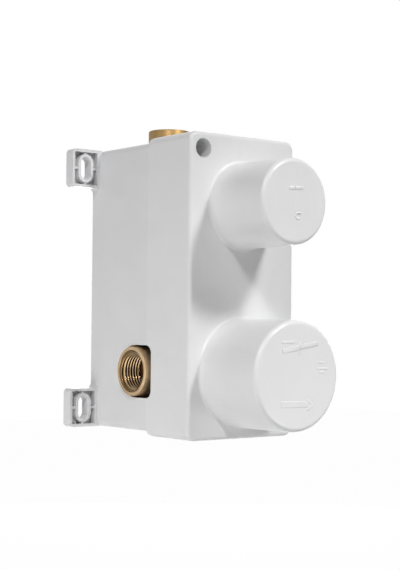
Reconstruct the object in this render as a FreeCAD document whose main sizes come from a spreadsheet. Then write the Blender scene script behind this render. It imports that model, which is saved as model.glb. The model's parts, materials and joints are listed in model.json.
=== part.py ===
import FreeCAD, Part
import math
import os
from types import SimpleNamespace

import Sketcher

# Rough-in unit of a concealed bath mixer, in millimetres.
# The origin lies on the wall plane in the middle of the box. X runs to the right as seen from the room,
# Z runs up, and the room is on the -Y side. A depth is a distance from the wall plane towards the room.

SIZES = {
    # Front cover: plaster guard with two caps
    "cover_width": 72.6,
    "cover_height": 162.6,
    "cover_depth": 37.4,
    "cover_wall": 2.4,
    "cover_corner": 5,
    "cover_edge": 2,
    "cover_rib_thickness": 1.6,
    "cover_rib_height": 5,
    "cover_rib_spread": 26,
    "rim_ease_depth": 4.5,
    "rim_ease_drop": 1.2,
    "lap_gap": 0.3,
    "cap_wall": 2.2,
    "cap_taper": 0.7,
    "cap_edge": 2.5,
    "cap_blend": 1.5,
    "mixer_cap_length": 44.1,
    "mixer_cap_room": 1.6,
    "mixer_inset": 35,
    "diverter_cap_length": 41.6,
    "diverter_cap_room": 3,
    "diverter_inset": 37.9,
    # Rear housing: box that is walled in
    "side_step": 0.3,
    "end_step": 2.6,
    "housing_depth": 55,
    "housing_wall": 2.5,
    "housing_back": 3,
    "housing_corner": 4,
    "tongue_length": 3.5,
    "tongue_thickness": 1.3,
    "slot_gap": 0.9,
    "notch_gap": 2.1,
    "notch_corner": 4.5,
    "outlet_hole_gap": 0.7,
    "boss_wall": 2.5,
    "boss_rib_thickness": 1.8,
    # Ears with their fixing slots
    "ear_reach": 18.3,
    "ear_height": 21.7,
    "ear_thickness": 6.9,
    "ear_floor": 2,
    "ear_wall": 1.6,
    "ear_corner": 2.2,
    "ear_blend": 3,
    "ear_rib_thickness": 1.3,
    "ear_rib_drop": 0.8,
    "ear_slot_width": 7,
    "ear_slot_length": 13,
    "ear_slot_wall": 1.5,
    "ear_slot_out": 9.4,
    # Screws
    "cover_screw_inset": 8.75,
    "cover_screw_radius": 1.6,
    "cover_screw_length": 22,
    "cover_screw_head_radius": 4,
    "cover_screw_head_height": 2.8,
    "screw_well_gap": 1.2,
    "screw_post_wall": 2,
    "screw_seat_rise": 7,
    "screw_seat_thickness": 2,
    "screw_post_gap": 0.3,
    "body_screw_radius": 1.9,
    "body_screw_length": 16,
    "body_screw_head_radius": 3.8,
    "body_screw_head_height": 2.8,
    "screw_hole_gap": 0.5,
    "screw_pilot_gap": 0.1,
    "screw_head_round": 1,
    # Brass body
    "outlet_depth": 25,
    "inlet_pitch": 18.5,
    "inlet_channel_radius": 7,
    "inlet_channel_end": 3,
    "outlet_channel_radius": 6.5,
    "outlet_channel_end": 2,
    "duct_wall": 4,
    "casting_blend": 2,
    "casting_round": 2.4,
    "bowl_back": 11,
    "bowl_wall": 2.9,
    "seat_rise": 25,
    "riser_inset": 10,
    "riser_radius": 6,
    "riser_wall": 3.5,
    "riser_end_rise": 3,
    "diverter_back": 13.5,
    "diverter_wall": 4,
    "diverter_seat_rise": 21,
    "chamber_length": 40,
    "top_collar_rise": 2.6,
    "bottom_collar_rise": 0.4,
    "collar_length": 13,
    "lug_inset": 8.7,
    "lug_gap": 8.4,
    "lug_radius": 5,
    "lug_inset_depth": 5,
    "lug_thickness": 5,
    # Brass sockets, threaded G 1/2
    "boss_stand": 2,
    "inlet_flange_length": 13.5,
    "inlet_thread_length": 13,
    "inlet_chamfer": 2.4,
    "socket_radius": 13.5,
    "shank_radius": 10.4,
    "shank_length": 8.5,
    "outlet_stand": 9.7,
    "outlet_thread_length": 9,
    "outlet_chamfer": 1.4,
    "outlet_radius": 12,
    "outlet_shank_radius": 8.9,
    "thread_radius": 9.315,
    "socket_edge": 0.6,
    "shank_gap": 0.1,
    "socket_seal_section": 1.5,
    "seal_gap": 0.05,
    # Mixing cartridge
    "cartridge_radius": 17.4,
    "cartridge_gap": 0.2,
    "inlet_port_radius": 2.6,
    "inlet_port_out": 5.2,
    "inlet_port_drop": 3.5,
    "mixed_port_radius": 3.2,
    "mixed_port_rise": 6.5,
    "port_seal_stand": 0.6,
    "port_seal_thickness": 1.6,
    "port_seal_width": 1.3,
    "port_seal_gap": 0.1,
    "base_thickness": 4.4,
    "fixed_disc_radius": 13.2,
    "fixed_disc_thickness": 4,
    "disc_gap": 0.1,
    "moving_disc_radius": 11,
    "moving_disc_thickness": 3.5,
    "mixing_pocket_width": 9,
    "mixing_pocket_top": 8.5,
    "mixing_pocket_bottom": 1,
    "mixing_pocket_depth": 2,
    "mixing_pocket_corner": 2,
    "carrier_thickness": 5,
    "carrier_width": 15.6,
    "carrier_length": 20,
    "carrier_corner": 3,
    "carrier_gap": 0.3,
    "rail_gap": 0.2,
    "rail_width": 2.4,
    "rail_length": 11,
    "turret_radius": 11.4,
    "turret_gap": 0.1,
    "turret_flange_radius": 13.8,
    "turret_flange_thickness": 2,
    "turret_end_gap": 0.2,
    "turret_stand": 1.5,
    "turret_edge": 0.8,
    "turret_seal_section": 1.7,
    "turret_seal_inset": 2,
    "shell_room": 0.6,
    "shell_roof": 2,
    "neck_wall": 2,
    "neck_length": 8,
    "pivot_rise": 3.8,
    "pin_radius": 1.5,
    "pin_length": 18,
    "pin_gap": 0.03,
    "ball_radius": 2.3,
    "ball_gap": 0.2,
    "ball_neck_radius": 1.7,
    "stem_width": 7,
    "stem_height": 8,
    "stem_tail": 4,
    "stem_corner": 0.8,
    "stem_gap": 0.2,
    "stem_swing_room": 2,
    "stem_room": 8,
    "grub_dimple_radius": 2,
    "grub_dimple_depth": 1,
    "grub_dimple_inset": 8,
    "nut_thread_radius": 19.9,
    "nut_thread_length": 4,
    "nut_thread_room": 4,
    "nut_flats": 43,
    "nut_head_height": 5,
    "nut_gap": 0.2,
    "nut_bore_gap": 0.5,
    # Diverter
    "headwork_radius": 12.9,
    "headwork_gap": 0.1,
    "headwork_skirt_radius": 11.6,
    "headwork_skirt_length": 23,
    "headwork_skirt_gap": 1,
    "headwork_flats": 30,
    "headwork_flange": 5,
    "headwork_neck_radius": 8.5,
    "headwork_neck_length": 13,
    "headwork_roof": 2,
    "headwork_seal_section": 1.6,
    "window_width": 9,
    "window_length": 7.5,
    "window_rise": 0.5,
    "diverter_port_radius": 3,
    "diverter_port_out": 4.2,
    "diverter_disc_radius": 9.4,
    "diverter_disc_gap": 0.2,
    "diverter_seal_thickness": 2,
    "diverter_disc_thickness": 3,
    "foot_thickness": 3.5,
    "spindle_radius": 5,
    "spindle_gap": 0.1,
    "spindle_seal_section": 1.4,
    "spindle_seal_inset": 12,
    "spindle_seal_pitch": 8,
    "clip_thickness": 1,
    "clip_groove": 0.8,
    "clip_width": 2.4,
    "clip_mouth": 5,
    "clip_gap": 0.05,
    "clip_shoulder": 0.8,
    "spline_radius": 4,
    "spline_tooth": 0.45,
    "spline_length": 14,
    "spindle_edge": 0.5,
    "spindle_room": 10.5,
    # One overrun for every cut
    "overrun": 1,
}

# Angles in degrees, counts and shares
LEVER_TILT = 12.5
SPLINE_TEETH = 20
SPLINE_GAP_SHARE = 0.45
HEX_CORNER_SHARE = 1 / math.sqrt(3)

ANTICLOCKWISE, CLOCKWISE = True, False
START, END, CENTRE = range(1, 4)


class Size:
    """A length of the sheet, or one worked out from such lengths: its formula and its value."""

    def __init__(self, formula, value):
        self.formula = formula
        self.value = value

    def joined(self, sign, other, value):
        return Size(f"({self.formula} {sign} {other.formula})", value)

    def __add__(self, other):
        other = as_size(other)
        return self.joined("+", other, self.value + other.value)

    def __sub__(self, other):
        other = as_size(other)
        return self.joined("-", other, self.value - other.value)

    def __mul__(self, other):
        other = as_size(other)
        return self.joined("*", other, self.value * other.value)

    def __truediv__(self, other):
        other = as_size(other)
        return self.joined("/", other, self.value / other.value)

    def __neg__(self):
        return Size(f"(-1 * {self.formula})", -self.value)


def as_size(item):
    if isinstance(item, Size):
        return item
    return Size(repr(float(item)), float(item))


def root(item):
    return Size(f"sqrt({item.formula})", math.sqrt(item.value))


doc = FreeCAD.newDocument("ConcealedBathMixer")
sheet = doc.addObject("Spreadsheet::Sheet", "Sizes")
for row, (alias, length) in enumerate(SIZES.items(), start=1):
    sheet.set(f"A{row}", alias)
    sheet.set(f"B{row}", str(length))
    sheet.setAlias(f"B{row}", alias)
doc.recompute()

size = SimpleNamespace(**{alias: Size(f"Sizes.{alias}", float(length)) for alias, length in SIZES.items()})
parts = []


# Drawing and shaping

def new_body(label):
    body = doc.addObject("PartDesign::Body", label)
    body.Label = label
    return body


def sketch(body, plane, offset=None):
    """A sketch on one of the body's own planes, moved along the plane's normal by offset."""
    drawing = body.newObject("Sketcher::SketchObject", f"{body.Name}_sketch")
    support = next(feature for feature in body.Origin.OriginFeatures if feature.Role == plane)
    drawing.AttachmentSupport = [(support, "")]
    drawing.MapMode = "FlatFace"
    if offset is not None:
        drawing.setExpression(".AttachmentOffset.Base.z", offset.formula)
    return drawing


def across(body, depth):
    """A sketch square to the depth direction: its own axes are X and Z, and its normal points to the room."""
    return sketch(body, "XZ_Plane", as_size(depth))


def bind(drawing, constraint, item):
    number = drawing.addConstraint(constraint)
    drawing.setExpression(f"Constraints[{number}]", item.formula)


def fix_x(drawing, geometry, point, item):
    """Set a point's distance from the sketch's origin, which is point 1 of geometry -1."""
    bind(drawing, Sketcher.Constraint("DistanceX", -1, 1, geometry, point, item.value), item)


def fix_y(drawing, geometry, point, item):
    bind(drawing, Sketcher.Constraint("DistanceY", -1, 1, geometry, point, item.value), item)


def circle(drawing, x, y, radius):
    x, y = as_size(x), as_size(y)
    ring = Part.Circle(FreeCAD.Vector(x.value, y.value, 0), FreeCAD.Vector(0, 0, 1), radius.value)
    geometry = drawing.addGeometry(ring, False)
    fix_x(drawing, geometry, CENTRE, x)
    fix_y(drawing, geometry, CENTRE, y)
    bind(drawing, Sketcher.Constraint("Radius", geometry, radius.value), radius)


def arc_geometry(start, end, centre, turn):
    angles = [math.atan2(point.y - centre.y, point.x - centre.x) for point in (start, end)]
    first, last = angles if turn is ANTICLOCKWISE else angles[::-1]
    if last <= first:
        last += 2 * math.pi
    ring = Part.Circle(centre, FreeCAD.Vector(0, 0, 1), start.distanceToPoint(centre))
    return Part.ArcOfCircle(ring, first, last)


def outline(drawing, steps):
    """Draw a closed outline. A step is (x, y) for a straight run to that point, or (x, y, centre x, centre y,
    turn) for a round one. The first step ends the run that closes the outline."""
    steps = [tuple(as_size(item) for item in step[:4]) + tuple(step[4:]) for step in steps]
    runs = []
    for number, step in enumerate(steps):
        before = steps[number - 1]
        start = FreeCAD.Vector(before[0].value, before[1].value, 0)
        end = FreeCAD.Vector(step[0].value, step[1].value, 0)
        if len(step) == 2:
            runs.append((drawing.addGeometry(Part.LineSegment(start, end), False), START, END))
            continue
        middle = FreeCAD.Vector(step[2].value, step[3].value, 0)
        geometry = drawing.addGeometry(arc_geometry(start, end, middle, step[4]), False)
        runs.append((geometry, START, END) if step[4] is ANTICLOCKWISE else (geometry, END, START))
    for number, (geometry, start_point, end_point) in enumerate(runs):
        earlier, _, earlier_end = runs[number - 1]
        drawing.addConstraint(Sketcher.Constraint("Coincident", earlier, earlier_end, geometry, start_point))
    for number, (geometry, _, end_point) in enumerate(runs):
        step, before = steps[number], steps[number - 1]
        fix_x(drawing, geometry, end_point, step[0])
        fix_y(drawing, geometry, end_point, step[1])
        if len(step) > 2:
            rise = abs(step[1].value - before[1].value)
            run = abs(step[0].value - before[0].value)
            if rise > run:
                fix_x(drawing, geometry, CENTRE, step[2])
            else:
                fix_y(drawing, geometry, CENTRE, step[3])


def rectangle(drawing, left, bottom, right, top):
    outline(drawing, [(left, bottom), (right, bottom), (right, top), (left, top)])


def rounded_rectangle(drawing, left, bottom, right, top, radius):
    outline(drawing, [
        (left + radius, bottom, left + radius, bottom + radius, ANTICLOCKWISE),
        (right - radius, bottom),
        (right, bottom + radius, right - radius, bottom + radius, ANTICLOCKWISE),
        (right, top - radius),
        (right - radius, top, right - radius, top - radius, ANTICLOCKWISE),
        (left + radius, top),
        (left, top - radius, left + radius, top - radius, ANTICLOCKWISE),
        (left, bottom + radius),
    ])


def centred_rectangle(drawing, width, height, radius):
    rounded_rectangle(drawing, -(width / 2), -(height / 2), width / 2, height / 2, radius)


def upright_slot(drawing, x, z, width, length):
    radius = width / 2
    reach = length / 2 - radius
    outline(drawing, [
        (x + radius, z - reach, x, z - reach, ANTICLOCKWISE),
        (x + radius, z + reach),
        (x - radius, z + reach, x, z + reach, ANTICLOCKWISE),
        (x - radius, z - reach),
    ])


def hexagon(drawing, flats):
    corner = flats * HEX_CORNER_SHARE
    half = flats / 2
    outline(drawing, [
        (corner, 0), (corner / 2, half), (-(corner / 2), half),
        (-corner, 0), (-(corner / 2), -half), (corner / 2, -half),
    ])


def pad(body, drawing, length):
    """Add material along the sketch's normal."""
    feature = body.newObject("PartDesign::Pad", f"{body.Name}_pad")
    feature.Profile = drawing
    feature.setExpression("Length", length.formula)
    return feature


def pad_both_ways(body, drawing, length):
    feature = pad(body, drawing, length)
    feature.SideType = "Symmetric"
    return feature


def cut(body, drawing, length):
    """Remove material along the sketch's normal."""
    feature = body.newObject("PartDesign::Pocket", f"{body.Name}_cut")
    feature.Profile = drawing
    feature.Reversed = True
    feature.setExpression("Length", length.formula)
    return feature


def cut_through(body, drawing):
    """Remove material both ways along the sketch's normal."""
    feature = body.newObject("PartDesign::Pocket", f"{body.Name}_cut")
    feature.Profile = drawing
    feature.Type = "ThroughAll"
    feature.SideType = "Symmetric"
    return feature


def turn(body, drawing, axis):
    feature = body.newObject("PartDesign::Revolution", f"{body.Name}_turn")
    feature.Profile = drawing
    feature.ReferenceAxis = (drawing, [axis])
    feature.Angle = 360
    return feature


def turn_about_depth(body, steps, height=None):
    """Turn an outline of (depth, radius) steps about a line that runs straight into the wall."""
    drawing = sketch(body, "XY_Plane", height)
    drawn = []
    for step in steps:
        depth, radius = as_size(step[0]), as_size(step[1])
        point = (radius, -depth)
        if len(step) > 2:
            point += (as_size(step[3]), -as_size(step[2]), step[4])
        drawn.append(point)
    outline(drawing, drawn)
    return turn(body, drawing, "V_Axis")


def fillet(body, radius, wanted):
    """Round the edges of the body's last shape that the test wanted picks."""
    doc.recompute()
    base = body.Tip
    names = [f"Edge{number}" for number, edge in enumerate(base.Shape.Edges, start=1) if wanted(edge)]
    feature = body.newObject("PartDesign::Fillet", f"{body.Name}_fillet")
    feature.Base = (base, names)
    feature.setExpression("Radius", radius.formula)
    return feature


def place(part, x=None, y=None, z=None):
    for axis, item in (("x", x), ("y", y), ("z", z)):
        if item is not None:
            part.setExpression(f".Placement.Base.{axis}", as_size(item).formula)
    return part


def keep(part, label):
    part.Label = label
    parts.append(part)


def keep_group(label, members):
    """Keep separate like solids under one name."""
    group = doc.addObject("Part::Compound", label)
    group.Links = members
    keep(group, label)


def ring_seal(name, depth, inner_radius, section):
    """An O-ring about the depth direction, seated on inner_radius."""
    body = new_body(name)
    drawing = sketch(body, "XY_Plane")
    circle(drawing, inner_radius + section / 2, -depth, section / 2)
    turn(body, drawing, "V_Axis")
    return body


def lies_at_depth(edge, depth):
    return all(abs(vertex.Y + depth.value) < 1e-6 for vertex in edge.Vertexes)


# Places shared by several pieces

half_width = size.cover_width / 2
half_height = size.cover_height / 2
housing_half_width = half_width - size.side_step
housing_half_height = half_height - size.end_step
housing_width = housing_half_width * 2
housing_height = housing_half_height * 2
seam = size.housing_depth
cover_front = seam + size.cover_depth
plate_back = cover_front - size.cover_wall

mixer_z = size.mixer_inset - half_height
diverter_z = half_height - size.diverter_inset
mixer_cap_radius = size.nut_flats * HEX_CORNER_SHARE + size.mixer_cap_room + size.cap_wall
diverter_cap_radius = size.headwork_flats * HEX_CORNER_SHARE + size.diverter_cap_room + size.cap_wall
mixer_cap_end = cover_front + size.mixer_cap_length
diverter_cap_end = cover_front + size.diverter_cap_length

outlet_depth = size.outlet_depth
inlet_depth = outlet_depth + size.inlet_pitch
seat = inlet_depth + size.seat_rise
diverter_seat = outlet_depth + size.diverter_seat_rise
chamber_front = diverter_seat + size.chamber_length
riser_depth = seat - size.riser_inset

base_start = seat + size.port_seal_stand
base_end = base_start + size.base_thickness
fixed_disc_end = base_end + size.fixed_disc_thickness
moving_disc_end = fixed_disc_end + size.moving_disc_thickness
carrier_end = moving_disc_end + size.carrier_thickness
flange_start = carrier_end + size.carrier_gap
flange_end = flange_start + size.turret_flange_thickness
roof_start = flange_end + size.turret_end_gap
shoulder = roof_start + size.shell_roof
neck_end = shoulder + size.neck_length
turret_end = neck_end + size.turret_stand
pivot = flange_end + size.pivot_rise
ball = moving_disc_end + size.ball_radius + size.ball_gap
lever_arm = pivot - ball
bowl_front = shoulder + size.nut_thread_length
tilt_sine = math.sin(math.radians(LEVER_TILT))
disc_offset = lever_arm * tilt_sine

nut_bore = size.nut_thread_radius + size.nut_gap
bowl_radius = nut_bore + size.bowl_wall
chamber_radius = size.headwork_radius + size.headwork_gap
diverter_radius = chamber_radius + size.diverter_wall
riser_start = mixer_z + size.riser_end_rise
riser_end = diverter_z - chamber_radius + size.riser_wall
top_collar = diverter_z + diverter_radius + size.top_collar_rise
bottom_collar = mixer_z - bowl_radius - size.bottom_collar_rise
boss_end = bowl_radius + size.boss_stand
top_mouth = half_height + size.outlet_stand
bottom_mouth = -half_height

diverter_seal_end = diverter_seat + size.diverter_seal_thickness
diverter_fixed_end = diverter_seal_end + size.diverter_disc_thickness
diverter_moving_end = diverter_fixed_end + size.diverter_disc_thickness
foot_end = diverter_moving_end + size.foot_thickness
headwork_start = diverter_seat + size.headwork_skirt_gap
headwork_flange_end = chamber_front + size.headwork_flange
headwork_end = headwork_flange_end + size.headwork_neck_length
skirt_bore = size.diverter_disc_radius + size.diverter_disc_gap

lug_x = housing_half_width - size.housing_wall - size.lug_inset
lug_heights = (diverter_z - diverter_radius - size.lug_gap, mixer_z + bowl_radius + size.lug_gap)
lug_back = outlet_depth - size.lug_inset_depth
lug_front = lug_back + size.lug_thickness
lug_places = [(lug_x * side, height) for side in (-1, 1) for height in lug_heights]

screw_x = half_width - size.cover_screw_inset
screw_z = half_height - size.cover_screw_inset
cover_screw_places = [(-screw_x, screw_z), (screw_x, -screw_z)]
screw_seat = seam + size.screw_seat_rise
post_end = screw_seat - size.screw_seat_thickness
well_radius = size.cover_screw_head_radius + size.screw_well_gap


# Rear housing

def ear_outline(drawing, side, end):
    """One ear, on the side and at the end given as -1 or 1, with a hollow blend into the housing wall."""
    root_x = housing_half_width - size.housing_wall / 2
    tip = housing_half_width + size.ear_reach
    near = housing_half_height - size.ear_height
    far = housing_half_height
    corner, blend = size.ear_corner, size.ear_blend
    upright = side * end > 0
    hollow, round_turn = (CLOCKWISE, ANTICLOCKWISE) if upright else (ANTICLOCKWISE, CLOCKWISE)
    steps = [
        (root_x, near - blend),
        (housing_half_width, near - blend),
        (housing_half_width + blend, near, housing_half_width + blend, near - blend, hollow),
        (tip - corner, near),
        (tip, near + corner, tip - corner, near + corner, round_turn),
        (tip, far - corner),
        (tip - corner, far, tip - corner, far - corner, round_turn),
        (root_x, far),
    ]
    signs = (side, end, side, end)
    outline(drawing, [
        tuple(item * sign for item, sign in zip(step[:4], signs)) + step[4:] for step in steps
    ])


def add_ears(body):
    slot_x = housing_half_width + size.ear_slot_out
    slot_z = housing_half_height - size.ear_height / 2
    near_x = housing_half_width + size.ear_wall
    far_x = housing_half_width + size.ear_reach - size.ear_wall
    half_recess = size.ear_height / 2 - size.ear_wall
    half_rib = size.ear_rib_thickness / 2
    recess_depth = size.ear_thickness - size.ear_floor
    rib_height = recess_depth - size.ear_rib_drop
    ring_width = size.ear_slot_width + size.ear_slot_wall * 2
    ring_length = size.ear_slot_length + size.ear_slot_wall * 2
    corners = [(side, end) for side in (-1, 1) for end in (-1, 1)]

    ears = across(body, 0)
    recesses, rings = across(body, size.ear_floor), across(body, size.ear_floor)
    upright_ribs, level_ribs = across(body, size.ear_floor), across(body, size.ear_floor)
    slots = across(body, 0)
    for side, end in corners:
        x, z = slot_x * side, slot_z * end
        left, right = sorted((near_x * side, far_x * side), key=lambda item: item.value)
        ear_outline(ears, side, end)
        rectangle(recesses, left, z - half_recess, right, z + half_recess)
        upright_slot(rings, x, z, ring_width, ring_length)
        rectangle(upright_ribs, x - half_rib, z - half_recess, x + half_rib, z + half_recess)
        rectangle(level_ribs, left, z - half_rib, right, z + half_rib)
        upright_slot(slots, x, z, size.ear_slot_width, size.ear_slot_length)
    pad(body, ears, size.ear_thickness)
    cut(body, recesses, recess_depth)
    pad(body, upright_ribs, rib_height)
    pad(body, level_ribs, rib_height)
    pad(body, rings, recess_depth)
    cut(body, slots, size.ear_thickness)


def add_housing_bosses(body):
    """Bosses for the body screws, tied to the side walls by ribs, and tall ones for the cover screws."""
    body_boss = size.body_screw_radius + size.boss_wall
    cover_boss = size.cover_screw_radius + size.boss_wall
    inner_wall = housing_half_width - size.housing_wall / 2
    half_rib = size.boss_rib_thickness / 2
    low, tall, ribs = across(body, 0), across(body, 0), across(body, 0)
    low_pilots, tall_pilots = across(body, size.housing_back), across(body, size.housing_back)
    for x, z in lug_places:
        circle(low, x, z, body_boss)
        circle(low_pilots, x, z, size.body_screw_radius + size.screw_pilot_gap)
        left, right = sorted((x, inner_wall * math.copysign(1, x.value)), key=lambda item: item.value)
        rectangle(ribs, left, z - half_rib, right, z + half_rib)
    for x, z in cover_screw_places:
        circle(tall, x, z, cover_boss)
        circle(tall_pilots, x, z, size.cover_screw_radius + size.screw_pilot_gap)
    pad(body, ribs, lug_back - size.screw_hole_gap)
    pad(body, low, lug_back)
    pad(body, tall, post_end - size.screw_post_gap)
    cut(body, low_pilots, lug_back)
    cut(body, tall_pilots, post_end)


def make_rear_housing():
    body = new_body("rear_housing")
    step = size.housing_wall - size.tongue_thickness
    rim = seam + size.tongue_length

    drawing = across(body, 0)
    centred_rectangle(drawing, housing_width, housing_height, size.housing_corner)
    pad(body, drawing, seam)
    drawing = across(body, size.housing_back)
    centred_rectangle(drawing, housing_width - step * 2, housing_height - step * 2, size.housing_corner - step)
    pad(body, drawing, rim - size.housing_back)
    drawing = across(body, size.housing_back)
    inner_corner = size.housing_corner - size.housing_wall
    wall = size.housing_wall * 2
    centred_rectangle(drawing, housing_width - wall, housing_height - wall, inner_corner)
    cut(body, drawing, rim)
    add_ears(body)
    add_housing_bosses(body)

    slots = sketch(body, "YZ_Plane")
    radius = size.socket_radius + size.slot_gap
    mouth = -(rim + size.overrun)
    outline(slots, [
        (mouth, mixer_z - radius),
        (-inlet_depth, mixer_z - radius),
        (-inlet_depth, mixer_z + radius, -inlet_depth, mixer_z, ANTICLOCKWISE),
        (mouth, mixer_z + radius),
    ])
    cut_through(body, slots)
    holes = sketch(body, "XY_Plane")
    circle(holes, 0, -outlet_depth, size.outlet_radius + size.outlet_hole_gap)
    cut_through(body, holes)
    keep(body, "rear_housing")


# Front cover

def cap_steps(radius, end):
    """Half section of a cap: hollow blend at the plate, taper, rounded front edge, flat face."""
    foot = radius + size.cap_taper
    blend, edge = size.cap_blend, size.cap_edge
    return [
        (plate_back, 0),
        (plate_back, foot + blend),
        (cover_front, foot + blend),
        (cover_front + blend, foot, cover_front + blend, foot + blend, ANTICLOCKWISE),
        (end - edge, radius),
        (end, radius - edge, end - edge, radius - edge, CLOCKWISE),
        (end, 0),
    ]


def add_cover_posts(body):
    """Posts behind the plate, each with a deep well for a screw."""
    posts, wells = across(body, post_end), across(body, screw_seat)
    holes = across(body, post_end - size.overrun)
    for x, z in cover_screw_places:
        circle(posts, x, z, well_radius + size.screw_post_wall)
        circle(wells, x, z, well_radius)
        circle(holes, x, z, size.cover_screw_radius + size.screw_hole_gap)
    pad(body, posts, plate_back - post_end + size.cover_wall / 2)
    cut(body, wells, cover_front - screw_seat + size.overrun)
    cut(body, holes, size.screw_seat_thickness + size.overrun * 2)


def add_cover_ribs(body):
    """Ribs behind the plate between the two caps."""
    half_rib = size.cover_rib_thickness / 2
    reach = half_width - size.cover_wall / 2
    middle = (mixer_z + bowl_radius + diverter_z - diverter_radius) / 2
    rib_start = plate_back - size.cover_rib_height
    level = across(body, rib_start)
    for way in (-1, 1):
        z = middle + size.cover_rib_spread / 2 * way
        rectangle(level, -reach, z - half_rib, reach, z + half_rib)
    upright = across(body, rib_start)
    spread = size.cover_rib_spread / 2
    rectangle(upright, -half_rib, middle - spread, half_rib, middle + spread)
    height = size.cover_rib_height + size.cover_wall / 2
    pad(body, level, height)
    pad(body, upright, height)


def ease_cover_rim(body):
    """Round the top and bottom of the rear rim down towards the housing."""
    depth, drop = size.rim_ease_depth, size.rim_ease_drop
    radius = (depth * depth + drop * drop) / (drop * 2)
    near, far = -(seam - size.overrun), -(seam + depth)
    over = half_height + size.overrun
    drawing = sketch(body, "YZ_Plane")
    for end in (-1, 1):
        outline(drawing, [
            (near, (half_height - drop) * end),
            (near, over * end),
            (far, over * end),
            (far, half_height * end),
            (-seam, (half_height - drop) * end, far, (half_height - radius) * end, end < 0),
        ])
    cut_through(body, drawing)


def make_front_cover():
    body = new_body("front_cover")
    wall = size.cover_wall * 2
    inner_corner = size.cover_corner - size.cover_wall
    drawing = across(body, seam)
    centred_rectangle(drawing, size.cover_width, size.cover_height, size.cover_corner)
    pad(body, drawing, size.cover_depth)
    fillet(body, size.cover_edge, lambda edge: lies_at_depth(edge, cover_front))
    turn_about_depth(body, cap_steps(mixer_cap_radius, mixer_cap_end), mixer_z)
    turn_about_depth(body, cap_steps(diverter_cap_radius, diverter_cap_end), diverter_z)

    drawing = across(body, seam)
    centred_rectangle(drawing, size.cover_width - wall, size.cover_height - wall, inner_corner)
    cut(body, drawing, plate_back - seam)
    for height, radius, end in (
        (mixer_z, mixer_cap_radius, mixer_cap_end), (diverter_z, diverter_cap_radius, diverter_cap_end)
    ):
        drawing = across(body, plate_back - size.overrun)
        circle(drawing, 0, height, radius - size.cap_wall)
        cut(body, drawing, end - size.cap_wall - plate_back + size.overrun)
    add_cover_ribs(body)
    add_cover_posts(body)

    tongue = housing_width - (size.housing_wall - size.tongue_thickness) * 2
    drawing = across(body, seam)
    centred_rectangle(drawing, tongue + size.lap_gap * 2, size.cover_height - wall, inner_corner)
    cut(body, drawing, size.tongue_length + size.lap_gap)
    notch = sketch(body, "YZ_Plane")
    reach = size.socket_radius + size.slot_gap
    far = -(inlet_depth + size.socket_radius + size.notch_gap)
    rounded_rectangle(notch, far, mixer_z - reach, -inlet_depth, mixer_z + reach, size.notch_corner)
    cut_through(body, notch)
    ease_cover_rim(body)
    keep(body, "front_cover")


# Screws

def screw(name, seat_depth, radius, length, head_radius, head_height):
    body = new_body(name)
    top = seat_depth + head_height
    edge = size.screw_head_round
    turn_about_depth(body, [
        (seat_depth - length, 0),
        (seat_depth - length, radius),
        (seat_depth, radius),
        (seat_depth, head_radius),
        (top - edge, head_radius),
        (top, head_radius - edge, top - edge, head_radius - edge, CLOCKWISE),
        (top, 0),
    ])
    return body


def make_screws():
    cover_screws = [
        place(screw("cover_screw", screw_seat, size.cover_screw_radius, size.cover_screw_length,
                    size.cover_screw_head_radius, size.cover_screw_head_height), x=x, z=z)
        for x, z in cover_screw_places
    ]
    keep_group("cover_screws", cover_screws)
    body_screws = [
        place(screw("body_screw", lug_front, size.body_screw_radius, size.body_screw_length,
                    size.body_screw_head_radius, size.body_screw_head_height), x=x, z=z)
        for x, z in lug_places
    ]
    keep_group("body_screws", body_screws)


# Brass body

def draw_ports(drawing, extra, height=0):
    """The two inlet ports side by side and the mixed port above them."""
    for side in (-1, 1):
        z = as_size(height) - size.inlet_port_drop
        circle(drawing, size.inlet_port_out * side, z, size.inlet_port_radius + extra)
    circle(drawing, 0, as_size(height) + size.mixed_port_rise, size.mixed_port_radius + extra)


def draw_diverter_ports(drawing, extra, ends=(-1, 1), height=0):
    """The bath port below and the shower port above, a quarter turn apart."""
    for end in ends:
        z = as_size(height) + size.diverter_port_out * end
        circle(drawing, -size.diverter_port_out, z, size.diverter_port_radius + extra)


def wraps_tube(edge, radius):
    """Whether an edge closes on itself around an upright tube of the radius given."""
    return edge.isClosed() and abs(edge.BoundBox.XMax - radius.value) < 1e-3


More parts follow.
